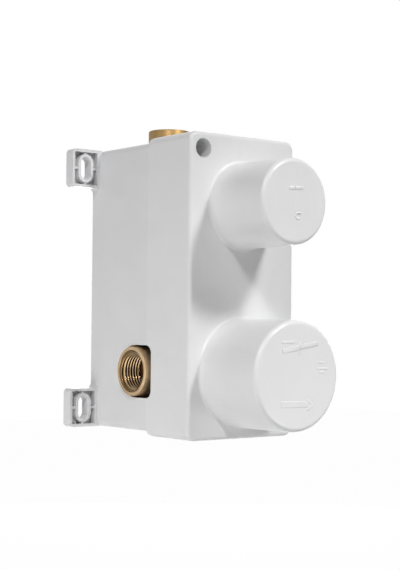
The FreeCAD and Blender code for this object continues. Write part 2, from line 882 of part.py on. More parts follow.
def add_castings(body):
    duct = size.outlet_channel_radius + size.duct_wall
    riser = size.riser_radius + size.riser_wall
    collar = size.outlet_radius

    drawing = sketch(body, "XY_Plane", bottom_collar)
    circle(drawing, 0, -outlet_depth, duct)
    pad(body, drawing, top_collar - bottom_collar)
    for start in (bottom_collar, top_collar - size.collar_length):
        drawing = sketch(body, "XY_Plane", start)
        circle(drawing, 0, -outlet_depth, collar)
        pad(body, drawing, size.collar_length)
    drawing = across(body, inlet_depth - size.bowl_back)
    circle(drawing, 0, mixer_z, bowl_radius)
    pad(body, drawing, bowl_front - inlet_depth + size.bowl_back)
    drawing = across(body, outlet_depth - size.diverter_back)
    circle(drawing, 0, diverter_z, diverter_radius)
    pad(body, drawing, chamber_front - outlet_depth + size.diverter_back)
    drawing = sketch(body, "XY_Plane", riser_start)
    circle(drawing, 0, -riser_depth, riser)
    pad(body, drawing, riser_end - riser_start)
    drawing = sketch(body, "YZ_Plane")
    circle(drawing, -inlet_depth, mixer_z, size.socket_radius)
    pad_both_ways(body, drawing, boss_end * 2)
    drawing = across(body, lug_back)
    for height in lug_heights:
        outline(drawing, [
            (-lug_x, height - size.lug_radius, -lug_x, height, ANTICLOCKWISE),
            (lug_x, height - size.lug_radius),
            (lug_x, height + size.lug_radius, lug_x, height, ANTICLOCKWISE),
            (-lug_x, height + size.lug_radius),
        ])
    pad(body, drawing, size.lug_thickness)
    diverter_back = outlet_depth - size.diverter_back
    fillet(body, size.casting_blend, lambda edge: wraps_tube(edge, riser) or wraps_tube(edge, duct))
    fillet(body, size.casting_round, lambda edge: lies_at_depth(edge, diverter_back))


def bore_mixer(body):
    """The cartridge bowl, the two inlet channels and the ports in the bowl's seat."""
    drawing = across(body, seat)
    circle(drawing, 0, mixer_z, size.cartridge_radius + size.cartridge_gap)
    cut(body, drawing, bowl_front - seat + size.overrun)
    drawing = across(body, shoulder - size.nut_thread_room)
    circle(drawing, 0, mixer_z, nut_bore)
    cut(body, drawing, bowl_front - shoulder + size.nut_thread_room + size.overrun)
    shank_start = boss_end - size.shank_length - size.shank_gap
    seal_radius = size.shank_radius + size.seal_gap * 2 + size.socket_seal_section
    seal_start = boss_end - size.socket_seal_section - size.seal_gap * 2
    mouth = boss_end + size.overrun
    for start, radius in (
        (size.inlet_channel_end, size.inlet_channel_radius),
        (shank_start, size.shank_radius + size.shank_gap),
        (seal_start, seal_radius),
    ):
        for plane in (start, -mouth):
            drawing = sketch(body, "YZ_Plane", plane)
            circle(drawing, -inlet_depth, mixer_z, radius)
            cut(body, drawing, mouth - start)
    inlets, mixed = across(body, inlet_depth), across(body, riser_depth)
    for side in (-1, 1):
        z = mixer_z - size.inlet_port_drop
        circle(inlets, size.inlet_port_out * side, z, size.inlet_port_radius)
    circle(mixed, 0, mixer_z + size.mixed_port_rise, size.mixed_port_radius)
    cut(body, inlets, seat - inlet_depth + size.overrun)
    cut(body, mixed, seat - riser_depth + size.overrun)


def bore_diverter(body):
    """The riser, the diverter chamber, its two ports and the ways to the top and bottom outlets."""
    drawing = sketch(body, "XY_Plane", riser_start)
    circle(drawing, 0, -riser_depth, size.riser_radius)
    cut(body, drawing, riser_end - riser_start)
    drawing = across(body, diverter_seat)
    circle(drawing, 0, diverter_z, chamber_radius)
    cut(body, drawing, size.chamber_length + size.overrun)
    seal_depth = size.headwork_seal_section + size.seal_gap * 2
    drawing = across(body, chamber_front - seal_depth)
    circle(drawing, 0, diverter_z, size.headwork_radius + seal_depth)
    cut(body, drawing, seal_depth + size.overrun)
    drawing = across(body, outlet_depth)
    draw_diverter_ports(drawing, 0, height=diverter_z)
    cut(body, drawing, diverter_seat - outlet_depth + size.overrun)

    shank = size.shank_length + size.shank_gap
    seal = size.socket_seal_section + size.seal_gap * 2
    low, high = bottom_collar - size.overrun, top_collar + size.overrun
    for radius, bottom_end, top_start in (
        (size.outlet_channel_radius, diverter_z - size.outlet_channel_end, diverter_z + size.outlet_channel_end),
        (size.outlet_shank_radius + size.shank_gap, bottom_collar + shank, top_collar - shank),
        (size.outlet_shank_radius + seal, bottom_collar + seal, top_collar - seal),
    ):
        for start, end in ((low, bottom_end), (top_start, high)):
            drawing = sketch(body, "XY_Plane", start)
            circle(drawing, 0, -outlet_depth, radius)
            cut(body, drawing, end - start)


def make_mixer_body():
    body = new_body("mixer_body")
    add_castings(body)
    bore_mixer(body)
    bore_diverter(body)
    holes = across(body, lug_back - size.overrun)
    for x, z in lug_places:
        circle(holes, x, z, size.body_screw_radius + size.screw_hole_gap)
    cut(body, holes, size.lug_thickness + size.overrun * 2)
    keep(body, "mixer_body")


# Sockets and their seals

def socket_steps(face, mouth, thread_end, way, radius, chamfer, shank, channel):
    """Half section of a threaded socket from its tail to its mouth, running along its axis by way (-1 or 1)."""
    tail = face - size.shank_length * way
    edge = size.socket_edge * way
    return [
        (tail, channel),
        (tail, shank),
        (face, shank),
        (face, radius),
        (mouth - edge, radius),
        (mouth, radius - size.socket_edge),
        (mouth, size.thread_radius + chamfer),
        (mouth - chamfer * way, size.thread_radius),
        (thread_end, size.thread_radius),
        (thread_end, channel),
    ]


def make_inlet_socket(label, way):
    body = new_body(label)
    face = boss_end * way
    mouth = face + size.inlet_flange_length * way
    thread_end = mouth - size.inlet_thread_length * way
    drawing = sketch(body, "XY_Plane")
    outline(drawing, socket_steps(face, mouth, thread_end, way, size.socket_radius, size.inlet_chamfer,
                                  size.shank_radius, size.inlet_channel_radius))
    turn(body, drawing, "H_Axis")
    keep(place(body, y=-inlet_depth, z=mixer_z), label)


def make_outlet_socket(label, face, mouth, way):
    body = new_body(label)
    drawing = sketch(body, "XZ_Plane")
    thread_end = mouth - size.outlet_thread_length * way
    steps = socket_steps(face, mouth, thread_end, way, size.outlet_radius, size.outlet_chamfer,
                         size.outlet_shank_radius, size.outlet_channel_radius)
    outline(drawing, [(radius, height) for height, radius in steps])
    turn(body, drawing, "V_Axis")
    keep(place(body, y=-outlet_depth), label)


def make_socket_seals():
    section = size.socket_seal_section
    middle = section / 2 + size.seal_gap
    seals = []
    for way in (-1, 1):
        body = new_body("inlet_seal")
        drawing = sketch(body, "XY_Plane")
        circle(drawing, (boss_end - middle) * way, size.shank_radius + middle, section / 2)
        turn(body, drawing, "H_Axis")
        seals.append(place(body, y=-inlet_depth, z=mixer_z))
    for height in (bottom_collar + middle, top_collar - middle):
        body = new_body("outlet_seal")
        drawing = sketch(body, "XZ_Plane")
        circle(drawing, size.outlet_shank_radius + middle, height, section / 2)
        turn(body, drawing, "V_Axis")
        seals.append(place(body, y=-outlet_depth))
    keep_group("socket_seals", seals)


# Mixing cartridge

def make_cartridge_base():
    body = new_body("cartridge_base")
    drawing = across(body, base_start)
    circle(drawing, 0, 0, size.cartridge_radius)
    pad(body, drawing, size.base_thickness)
    ports = across(body, base_start)
    draw_ports(ports, 0)
    cut(body, ports, size.base_thickness)
    recesses = across(body, base_start)
    draw_ports(recesses, size.port_seal_width + size.port_seal_gap * 2)
    cut(body, recesses, size.port_seal_thickness - size.port_seal_stand)
    keep(place(body, z=mixer_z), "cartridge_base")


def make_port_seals():
    places = [(size.inlet_port_out * side, -size.inlet_port_drop, size.inlet_port_radius) for side in (-1, 1)]
    places.append((as_size(0), size.mixed_port_rise, size.mixed_port_radius))
    seals = []
    for x, z, radius in places:
        body = new_body("port_seal")
        inner = radius + size.port_seal_gap
        drawing = across(body, seat)
        circle(drawing, 0, 0, inner + size.port_seal_width)
        circle(drawing, 0, 0, inner)
        pad(body, drawing, size.port_seal_thickness)
        seals.append(place(body, x=x, z=mixer_z + z))
    keep_group("port_seals", seals)


def make_fixed_disc():
    body = new_body("fixed_disc")
    drawing = across(body, base_end)
    circle(drawing, 0, 0, size.fixed_disc_radius)
    draw_ports(drawing, 0)
    pad(body, drawing, size.fixed_disc_thickness)
    keep(place(body, z=mixer_z), "fixed_disc")


def make_moving_disc():
    body = new_body("moving_disc")
    drawing = across(body, fixed_disc_end)
    circle(drawing, 0, 0, size.moving_disc_radius)
    pad(body, drawing, size.moving_disc_thickness)
    pocket = across(body, fixed_disc_end)
    half = size.mixing_pocket_width / 2
    rounded_rectangle(pocket, -half, -size.mixing_pocket_bottom, half, size.mixing_pocket_top,
                      size.mixing_pocket_corner)
    cut(body, pocket, size.mixing_pocket_depth)
    keep(place(body, z=mixer_z + disc_offset), "moving_disc")


def make_disc_carrier():
    body = new_body("disc_carrier")
    drawing = across(body, moving_disc_end)
    centred_rectangle(drawing, size.carrier_width, size.carrier_length, size.carrier_corner)
    circle(drawing, 0, 0, size.ball_radius + size.ball_gap)
    pad(body, drawing, size.carrier_thickness)
    keep(place(body, z=mixer_z + disc_offset), "disc_carrier")


def make_mixer_turret():
    """The part that turns: a flange and sleeve, with rails that guide the disc carrier."""
    body = new_body("mixer_turret")
    radius, edge = size.turret_radius, size.turret_edge
    groove_radius = radius + size.turret_gap - size.turret_seal_section - size.seal_gap * 2
    groove_end = neck_end - size.turret_seal_inset / 2
    groove_start = groove_end - size.turret_seal_section - size.seal_gap * 2
    turn_about_depth(body, [
        (flange_start, 0),
        (flange_start, size.turret_flange_radius),
        (flange_end, size.turret_flange_radius),
        (flange_end, radius),
        (groove_start, radius),
        (groove_start, groove_radius),
        (groove_end, groove_radius),
        (groove_end, radius),
        (turret_end - edge, radius),
        (turret_end, radius - edge),
        (turret_end, 0),
    ])
    rails = across(body, moving_disc_end + size.carrier_gap)
    rail_x = size.carrier_width / 2 + size.rail_gap
    half_rail = size.rail_length / 2
    rectangle(rails, rail_x, -half_rail, rail_x + size.rail_width, half_rail)
    rectangle(rails, -rail_x - size.rail_width, -half_rail, -rail_x, half_rail)
    pad(body, rails, flange_end - moving_disc_end - size.carrier_gap)
    slot = across(body, flange_start - size.overrun)
    width = size.stem_width + size.stem_gap * 2
    length = size.stem_height + size.stem_swing_room * 2
    centred_rectangle(slot, width, length, size.stem_corner)
    cut(body, slot, turret_end - flange_start + size.overrun * 2)
    hole = sketch(body, "YZ_Plane")
    circle(hole, -pivot, 0, size.pin_radius + size.pin_gap)
    cut_through(body, hole)
    keep(place(body, z=mixer_z), "mixer_turret")

    seal = ring_seal("turret_seal", (groove_start + groove_end) / 2, groove_radius + size.seal_gap,
                     size.turret_seal_section)
    keep(place(seal, z=mixer_z), "turret_seal")


def make_lever_pin():
    body = new_body("lever_pin")
    drawing = sketch(body, "YZ_Plane")
    circle(drawing, 0, 0, size.pin_radius)
    pad_both_ways(body, drawing, size.pin_length)
    keep(place(body, y=-pivot, z=mixer_z), "lever_pin")


def make_mixer_stem():
    """The lever stem, drawn about its pin and laid over to the closed position."""
    body = new_body("mixer_stem")
    tail = -size.stem_tail
    reach = mixer_cap_end - size.cap_wall - size.stem_room - pivot
    drawing = across(body, tail)
    centred_rectangle(drawing, size.stem_width, size.stem_height, size.stem_corner)
    pad(body, drawing, reach + size.stem_tail)
    neck, ball_radius = size.ball_neck_radius, size.ball_radius
    neck_start = root(ball_radius * ball_radius - neck * neck) - lever_arm
    turn_about_depth(body, [
        (-lever_arm - ball_radius, 0),
        (neck_start, neck, -lever_arm, 0, CLOCKWISE),
        (tail + size.overrun, neck),
        (tail + size.overrun, 0),
    ])
    hole = sketch(body, "YZ_Plane")
    circle(hole, 0, 0, size.pin_radius + size.pin_gap)
    cut_through(body, hole)
    dimple = sketch(body, "XY_Plane", -(size.stem_height / 2))
    circle(dimple, 0, size.grub_dimple_inset - reach, size.grub_dimple_radius)
    cut(body, dimple, size.grub_dimple_depth)
    fillet(body, size.stem_corner, lambda edge: lies_at_depth(edge, reach))
    body.Placement = FreeCAD.Placement(
        FreeCAD.Vector(0, 0, 0), FreeCAD.Rotation(FreeCAD.Vector(1, 0, 0), LEVER_TILT)
    )
    keep(place(body, y=-pivot, z=mixer_z), "mixer_stem")


def make_cartridge_shell():
    body = new_body("cartridge_shell")
    bore = size.turret_radius + size.turret_gap
    neck = bore + size.neck_wall
    disc_bore = size.fixed_disc_radius + size.disc_gap
    room = size.turret_flange_radius + size.shell_room
    turn_about_depth(body, [
        (base_end, disc_bore),
        (base_end, size.cartridge_radius),
        (shoulder, size.cartridge_radius),
        (shoulder, neck),
        (neck_end, neck),
        (neck_end, bore),
        (roof_start, bore),
        (roof_start, room),
        (fixed_disc_end + size.carrier_gap, room),
        (fixed_disc_end + size.carrier_gap, disc_bore),
    ])
    keep(place(body, z=mixer_z), "cartridge_shell")


def make_cartridge_nut():
    body = new_body("cartridge_nut")
    bore = size.turret_radius + size.turret_gap + size.neck_wall + size.nut_bore_gap
    thread = across(body, shoulder)
    circle(thread, 0, 0, size.nut_thread_radius)
    circle(thread, 0, 0, bore)
    pad(body, thread, size.nut_thread_length)
    head = across(body, bowl_front)
    hexagon(head, size.nut_flats)
    circle(head, 0, 0, bore)
    pad(body, head, size.nut_head_height)
    keep(place(body, z=mixer_z), "cartridge_nut")


# Diverter

def make_diverter_headwork():
    body = new_body("diverter_headwork")
    skirt_end = headwork_start + size.headwork_skirt_length
    bore = size.spindle_radius + size.spindle_gap
    roof = skirt_end - size.headwork_roof
    edge = size.spindle_edge
    turn_about_depth(body, [
        (headwork_start, skirt_bore),
        (headwork_start, size.headwork_skirt_radius),
        (skirt_end, size.headwork_skirt_radius),
        (skirt_end, size.headwork_radius),
        (headwork_flange_end, size.headwork_radius),
        (headwork_flange_end, size.headwork_neck_radius),
        (headwork_end - edge, size.headwork_neck_radius),
        (headwork_end, size.headwork_neck_radius - edge),
        (headwork_end, bore),
        (roof, bore),
        (roof, skirt_bore),
    ])
    head = across(body, chamber_front)
    hexagon(head, size.headwork_flats)
    circle(head, 0, 0, size.headwork_neck_radius)
    pad(body, head, size.headwork_flange)
    near = diverter_moving_end + size.window_rise
    far = near + size.window_length
    half = size.window_width / 2
    upright, level = sketch(body, "XY_Plane"), sketch(body, "YZ_Plane")
    rectangle(upright, -half, -far, half, -near)
    rectangle(level, -far, -half, -near, half)
    cut_through(body, upright)
    cut_through(body, level)
    keep(place(body, z=diverter_z), "diverter_headwork")

    seal = ring_seal("headwork_seal", chamber_front - size.headwork_seal_section / 2 - size.seal_gap,
                     size.headwork_radius + size.seal_gap, size.headwork_seal_section)
    keep(place(seal, z=diverter_z), "headwork_seal")


def make_diverter_discs():
    for label, start, thickness, ends in (
        ("diverter_seat_seal", diverter_seat, size.diverter_seal_thickness, (-1, 1)),
        ("diverter_fixed_disc", diverter_seal_end, size.diverter_disc_thickness, (-1, 1)),
        ("diverter_moving_disc", diverter_fixed_end, size.diverter_disc_thickness, (-1,)),
    ):
        body = new_body(label)
        drawing = across(body, start)
        circle(drawing, 0, 0, size.diverter_disc_radius)
        draw_diverter_ports(drawing, 0, ends)
        pad(body, drawing, thickness)
        keep(place(body, z=diverter_z), label)


def cut_splines(body, start, end):
    """Fine teeth round the spindle's end, one gap repeated round the axis."""
    outer, tooth = size.spline_radius, size.spline_tooth
    half_gap = outer * (math.pi / SPLINE_TEETH * SPLINE_GAP_SHARE)
    drawing = across(body, start)
    outline(drawing, [
        (outer - tooth, 0),
        (outer + tooth, -(half_gap * 2)),
        (outer + tooth, half_gap * 2),
    ])
    gap = cut(body, drawing, end - start + size.overrun)
    pattern = body.newObject("PartDesign::PolarPattern", f"{body.Name}_pattern")
    pattern.Originals = [gap]
    axis = next(feature for feature in body.Origin.OriginFeatures if feature.Role == "Y_Axis")
    pattern.Axis = (axis, [""])
    pattern.Angle = 360
    pattern.Occurrences = SPLINE_TEETH
    body.Tip = pattern


def make_diverter_spindle():
    body = new_body("diverter_spindle")
    radius, edge = size.spindle_radius, size.spindle_edge
    tip = diverter_cap_end - size.cap_wall - size.spindle_room
    groove_radius = radius + size.spindle_gap - size.spindle_seal_section - size.seal_gap * 2
    groove_half = size.spindle_seal_section / 2 + size.seal_gap
    far_seal = headwork_end - size.spindle_seal_inset
    seal_depths = (far_seal - size.spindle_seal_pitch, far_seal)
    grooves = []
    for depth in seal_depths:
        grooves += [
            (depth - groove_half, radius),
            (depth - groove_half, groove_radius),
            (depth + groove_half, groove_radius),
            (depth + groove_half, radius),
        ]
    clip_start = headwork_end + size.clip_gap
    clip_end = clip_start + size.clip_thickness + size.clip_gap * 2
    spline_start = clip_end + size.clip_shoulder
    spline_radius = size.spline_radius
    turn_about_depth(body, [
        (diverter_moving_end, 0),
        (diverter_moving_end, size.diverter_disc_radius),
        (foot_end, size.diverter_disc_radius),
        (foot_end, radius),
        *grooves,
        (clip_start, radius),
        (clip_start, radius - size.clip_groove),
        (clip_end, radius - size.clip_groove),
        (clip_end, radius),
        (spline_start, radius),
        (spline_start, spline_radius),
        (tip - edge, spline_radius),
        (tip, spline_radius - edge),
        (tip, 0),
    ])
    port = across(body, diverter_moving_end)
    draw_diverter_ports(port, 0, (-1,))
    cut(body, port, size.foot_thickness)
    cut_splines(body, tip - size.spline_length + edge, tip)
    keep(place(body, z=diverter_z), "diverter_spindle")

    seals = [
        place(ring_seal("spindle_seal", depth, groove_radius + size.seal_gap, size.spindle_seal_section),
              z=diverter_z)
        for depth in seal_depths
    ]
    keep_group("spindle_seals", seals)
    make_spindle_clip(clip_start + size.clip_gap)


def make_spindle_clip(start):
    body = new_body("spindle_clip")
    inner = size.spindle_radius - size.clip_groove + size.clip_gap
    drawing = across(body, start)
    circle(drawing, 0, 0, inner + size.clip_width)
    circle(drawing, 0, 0, inner)
    pad(body, drawing, size.clip_thickness)
    mouth = across(body, start)
    half = size.clip_mouth / 2
    rectangle(mouth, 0, -half, inner + size.clip_width + size.overrun, half)
    cut(body, mouth, size.clip_thickness)
    keep(place(body, z=diverter_z), "spindle_clip")


make_rear_housing()
make_front_cover()
make_screws()
make_mixer_body()
make_inlet_socket("hot_inlet_socket", -1)
make_inlet_socket("cold_inlet_socket", 1)
make_outlet_socket("shower_outlet_socket", top_collar, top_mouth, 1)
make_outlet_socket("bath_outlet_socket", bottom_collar, bottom_mouth, -1)
make_socket_seals()
make_cartridge_base()
make_port_seals()
make_fixed_disc()
make_moving_disc()
make_disc_carrier()
make_mixer_turret()
make_lever_pin()
make_mixer_stem()
make_cartridge_shell()
make_cartridge_nut()
make_diverter_headwork()
make_diverter_discs()
make_diverter_spindle()

doc.recompute()
failed = [item.Label for item in doc.Objects if {"Invalid", "Error"} & set(item.State)]
if failed:
    raise RuntimeError(f"failed objects: {failed}")
for part in parts:
    if part.Shape.isNull() or not part.Shape.isValid():
        raise RuntimeError(f"bad shape: {part.Label}")

os.makedirs("parts", exist_ok=True)
for part in parts:
    part.Shape.exportStep(f"parts/{part.Label}.step")
    print(part.Label, len(part.Shape.Solids), round(part.Shape.Volume, 1))
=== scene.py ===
import json
import math

import bpy
from mathutils import Matrix, Vector


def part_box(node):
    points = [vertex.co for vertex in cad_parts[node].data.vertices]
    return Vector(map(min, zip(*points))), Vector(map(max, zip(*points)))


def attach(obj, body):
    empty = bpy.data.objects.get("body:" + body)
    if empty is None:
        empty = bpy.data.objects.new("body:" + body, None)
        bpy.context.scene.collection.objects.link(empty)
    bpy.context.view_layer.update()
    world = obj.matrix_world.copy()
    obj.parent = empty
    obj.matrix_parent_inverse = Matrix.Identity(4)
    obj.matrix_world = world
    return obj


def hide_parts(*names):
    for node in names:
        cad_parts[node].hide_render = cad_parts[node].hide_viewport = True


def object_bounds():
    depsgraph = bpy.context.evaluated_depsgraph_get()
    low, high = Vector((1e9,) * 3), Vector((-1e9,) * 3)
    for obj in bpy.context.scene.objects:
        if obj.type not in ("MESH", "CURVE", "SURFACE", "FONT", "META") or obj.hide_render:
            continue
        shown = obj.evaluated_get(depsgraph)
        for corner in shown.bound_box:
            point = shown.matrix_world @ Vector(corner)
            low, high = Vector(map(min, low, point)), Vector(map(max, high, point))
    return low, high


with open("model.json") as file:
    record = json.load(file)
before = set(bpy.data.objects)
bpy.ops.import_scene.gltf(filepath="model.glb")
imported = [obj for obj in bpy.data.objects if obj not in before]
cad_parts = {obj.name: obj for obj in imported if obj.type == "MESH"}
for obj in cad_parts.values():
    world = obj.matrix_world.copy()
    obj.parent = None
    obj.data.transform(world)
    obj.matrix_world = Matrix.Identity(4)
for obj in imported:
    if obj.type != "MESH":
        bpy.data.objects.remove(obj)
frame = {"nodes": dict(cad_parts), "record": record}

# Looks of a concealed bath mixer's rough-in unit. All lengths are in metres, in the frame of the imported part.

cad_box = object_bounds()
nodes = frame["nodes"]
MM = 0.001
AXES = (0, 1, 2)
ALONG_X, ALONG_Y, ALONG_Z = AXES
QUARTER_TURN = math.radians(90)

# Pipe thread of the sockets, which their finish follows too

PIPE_PITCH = 1.814 * MM
PIPE_MAJOR = 10.48 * MM
PIPE_MINOR = 9.315 * MM


# Small helpers

def colour(red, green, blue):
    return (red, green, blue, 1)


def middle_of(node):
    low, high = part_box(node)
    return (low + high) / 2


def rotation(angle, axis):
    return Matrix.Rotation(angle, 4, axis)


def arc_angles(end, count):
    """The angles that divide an arc from 0 to its end into equal parts, with both ends."""
    return [end * step / count for step in range(count + 1)]


# Shader maths

MIX_FACTOR, MIX_FIRST, MIX_SECOND = 0, 6, 7
MIX_COLOUR = 2


class Socket:
    """One output of a shader node, for use in sums."""

    def __init__(self, finish, output):
        self.finish = finish
        self.output = output

    def __add__(self, other):
        return self.finish.math("ADD", self, other)

    __radd__ = __add__

    def __sub__(self, other):
        return self.finish.math("SUBTRACT", self, other)

    def __rsub__(self, other):
        return self.finish.math("SUBTRACT", other, self)

    def __mul__(self, other):
        return self.finish.math("MULTIPLY", self, other)

    __rmul__ = __mul__

    def __pow__(self, other):
        return self.finish.math("POWER", self, other)


class Finish:
    """A material, built node by node on Object coordinates."""

    def __init__(self, name):
        self.material = bpy.data.materials.new(name)
        self.material.use_nodes = True
        self.tree = self.material.node_tree
        self.shader = self.tree.nodes["Principled BSDF"]
        self.place = self.node("TexCoord", output="Object")

    def node(self, kind, settings=None, inputs=None, output=0):
        """An output of a new node, whose settings are set before its sockets are fed."""
        made = self.tree.nodes.new("ShaderNode" + kind)
        for name, value in (settings or {}).items():
            if name == "stops":
                self.set_stops(made.color_ramp, value)
            else:
                setattr(made, name, value)
        for key, value in (inputs or {}).items():
            self.feed(made.inputs[key], value)
        return Socket(self, made.outputs[output])

    def set_stops(self, ramp, stops):
        for element, (position, level) in zip(ramp.elements, stops):
            element.position = position
            element.color = colour(level, level, level)

    def feed(self, socket, value):
        if isinstance(value, Socket):
            self.tree.links.new(value.output, socket)
        else:
            socket.default_value = value

    def math(self, operation, *values):
        return self.node("Math", {"operation": operation}, dict(enumerate(values)))

    def stretched(self, *scale):
        """Object coordinates scaled along each axis."""
        return self.node("Mapping", inputs={"Vector": self.place, "Scale": scale})

    def noise(self, scale, detail, roughness=0.5, place=None):
        inputs = {"Vector": place or self.place, "Scale": scale, "Detail": detail, "Roughness": roughness}
        return self.node("TexNoise", inputs=inputs)

    def ramp(self, value, low, high):
        """A mask that climbs from 0 at the low value to 1 at the high one."""
        return self.node("ValToRGB", {"stops": ((low, 0), (high, 1))}, {"Fac": value})

    def blend(self, mask, first, second):
        """The first colour where mask is 0, the second where it is 1."""
        inputs = {MIX_FACTOR: mask, MIX_FIRST: first, MIX_SECOND: second}
        return self.node("Mix", {"data_type": "RGBA"}, inputs, output=MIX_COLOUR)

    def bump(self, height, strength, distance, below=None):
        inputs = {"Height": height, "Strength": strength, "Distance": distance}
        if below is not None:
            inputs["Normal"] = below
        return self.node("Bump", inputs=inputs)

    def surface(self, **values):
        for name, value in values.items():
            self.feed(self.shader.inputs[name.replace("_", " ").title()], value)
        return self.material


# Finishes

def white_abs(name, clean, dull):
    """Glossy white moulding: faint mottling, orange peel, sink marks and hair scuffs."""
    finish = Finish(name)
    mottle = finish.noise(scale=45, detail=3)
    streaks = finish.noise(scale=260, detail=4, roughness=0.7, place=finish.stretched(1, 0.12, 0.35))
    scuffs = finish.ramp(streaks, low=0.52, high=0.78)
    peel = finish.noise(scale=1100, detail=1)
    sinks = finish.noise(scale=70, detail=1)
    scuffed = colour(0.62, 0.62, 0.62)
    shade = finish.blend(finish.ramp(mottle, low=0.3, high=0.7), clean, dull)
    sunk = finish.bump(sinks, strength=0.05, distance=1.5 * MM)
    return finish.surface(
        base_color=finish.blend(scuffs * 0.12, shade, scuffed),
        roughness=0.27 + 0.06 * mottle + 0.12 * scuffs,
        normal=finish.bump(peel, strength=0.06, distance=0.2 * MM, below=sunk),
    )


def turned_brass(name, axis, middle, bore, bright, dull):
    """Brass turned about an axis through a point: lathe lines, tarnish, and painted shade that darkens the
    bore, its thread grooves most.
    """
    finish = Finish(name)
    parts = [finish.node("SeparateXYZ", inputs={"Vector": finish.place}, output=part) for part in AXES]
    across, over = [parts[part] - middle[part] for part in AXES if part != axis]
    radius = (across * across + over * over) ** 0.5
    inside = finish.math("LESS_THAN", radius, bore)
    thread = {"Value": radius, "From Min": PIPE_MINOR, "From Max": PIPE_MAJOR}
    # Painted shade mask: climbs from the thread crests to the roots inside the bore
    painted_groove_shade = inside * finish.node("MapRange", {"interpolation_type": "SMOOTHSTEP"}, thread)
    lathe = finish.node("CombineXYZ", inputs={"X": parts[axis], "Y": radius})
    lines = finish.noise(scale=2600, detail=2, place=lathe)
    tarnish = finish.noise(scale=120, detail=4, roughness=0.6)
    line_brown = colour(0.2, 0.13, 0.055)
    # The colour of the painted shade inside the bore
    painted_bore_shade = colour(0.1, 0.058, 0.02)
    shade = finish.blend(finish.ramp(tarnish, low=0.35, high=0.7), bright, dull)
    shade = finish.blend(0.3 * lines, shade, line_brown)
    return finish.surface(
        # Painted shade: the bore is darkened, and its thread grooves darker still, where shade falls inside it
        base_color=finish.blend(0.3 * inside + 0.55 * painted_groove_shade, shade, painted_bore_shade),
        metallic=1.0,
        roughness=0.34 + 0.14 * tarnish + 0.1 * lines - 0.25 * inside,
        normal=finish.bump(lines, strength=0.22, distance=0.1 * MM),
    )


def cast_brass():
    finish = Finish("cast_brass")
    grain = finish.noise(scale=1300, detail=3)
    blotches = finish.ramp(finish.noise(scale=90, detail=4), low=0.35, high=0.7)
    return finish.surface(
        base_color=finish.blend(blotches, colour(0.55, 0.38, 0.19), colour(0.42, 0.28, 0.14)),
        metallic=1.0,
        roughness=0.42 + 0.2 * grain,
        normal=finish.bump(grain, strength=0.35, distance=0.3 * MM),
    )


def plated_steel():
    finish = Finish("plated_steel")
    cloud = finish.noise(scale=300, detail=3)
    return finish.surface(
        base_color=finish.blend(cloud, colour(0.62, 0.62, 0.63), colour(0.50, 0.51, 0.53)),
        metallic=1.0,
        roughness=0.22 + 0.15 * cloud,
    )


def spring_steel():
    finish = Finish("spring_steel")
    cloud = finish.noise(scale=400, detail=3)
    return finish.surface(
        base_color=finish.blend(cloud, colour(0.24, 0.24, 0.26), colour(0.16, 0.16, 0.18)),
        metallic=1.0,
        roughness=0.3 + 0.15 * cloud,
    )


def seal_rubber():
    finish = Finish("seal_rubber")
    grain = finish.noise(scale=1500, detail=2)
    return finish.surface(
        base_color=finish.blend(grain, colour(0.012, 0.012, 0.013), colour(0.03, 0.03, 0.031)),
        roughness=0.5 + 0.2 * grain,
        normal=finish.bump(grain, strength=0.1, distance=0.1 * MM),
    )


def disc_ceramic():
    finish = Finish("disc_ceramic")
    cloud = finish.noise(scale=200, detail=3)
    return finish.surface(
        base_color=finish.blend(cloud, colour(0.80, 0.78, 0.73), colour(0.74, 0.72, 0.67)),
        roughness=0.12 + 0.08 * cloud,
    )


def dark_plastic():
    finish = Finish("dark_plastic")
    grain = finish.noise(scale=1600, detail=2)
    cloud = finish.noise(scale=80, detail=3)
    return finish.surface(
        base_color=finish.blend(cloud, colour(0.045, 0.046, 0.05), colour(0.03, 0.03, 0.034)),
        roughness=0.42 + 0.15 * grain,
        normal=finish.bump(grain, strength=0.1, distance=0.1 * MM),
    )


HOUSING_WHITE = colour(0.785, 0.785, 0.792), colour(0.76, 0.76, 0.768)
GUARD_WHITE = colour(0.805, 0.81, 0.805), colour(0.78, 0.785, 0.78)
FINISHES = {
    "white_abs": white_abs("white_abs", *HOUSING_WHITE),
    "guard_abs": white_abs("guard_abs", *GUARD_WHITE),
    "cast_brass": cast_brass(),
    "steel": plated_steel(),
    "spring_steel": spring_steel(),
    "seal": seal_rubber(),
    "ceramic_disc": disc_ceramic(),
    "dark_plastic": dark_plastic(),
}

INLET_MOUTH = 11.6 * MM
OUTLET_MOUTH = 10.6 * MM
# Two copies of one brass. The pale one is partly a fresher turned face and partly painted light that brightens
# the inlets' shaded sides. The dark one is painted shade that stands in for dark reflections on the outlets.
FRESH_AND_PAINTED_LIT_BRASS = colour(0.58, 0.43, 0.27), colour(0.45, 0.31, 0.17)
PAINTED_SHADE_BRASS = colour(0.3, 0.195, 0.08), colour(0.22, 0.14, 0.055)
TURNED_BRASS = {
    "hot_inlet_socket": (ALONG_X, INLET_MOUTH, FRESH_AND_PAINTED_LIT_BRASS),
    "cold_inlet_socket": (ALONG_X, INLET_MOUTH, FRESH_AND_PAINTED_LIT_BRASS),
    "shower_outlet_socket": (ALONG_Z, OUTLET_MOUTH, PAINTED_SHADE_BRASS),
    "bath_outlet_socket": (ALONG_Z, OUTLET_MOUTH, PAINTED_SHADE_BRASS),
    "cartridge_nut": (ALONG_Y, 0, FRESH_AND_PAINTED_LIT_BRASS),
    "mixer_stem": (ALONG_Y, 0, FRESH_AND_PAINTED_LIT_BRASS),
    "diverter_headwork": (ALONG_Y, 0, FRESH_AND_PAINTED_LIT_BRASS),
    "diverter_spindle": (ALONG_Y, 0, FRESH_AND_PAINTED_LIT_BRASS),
}


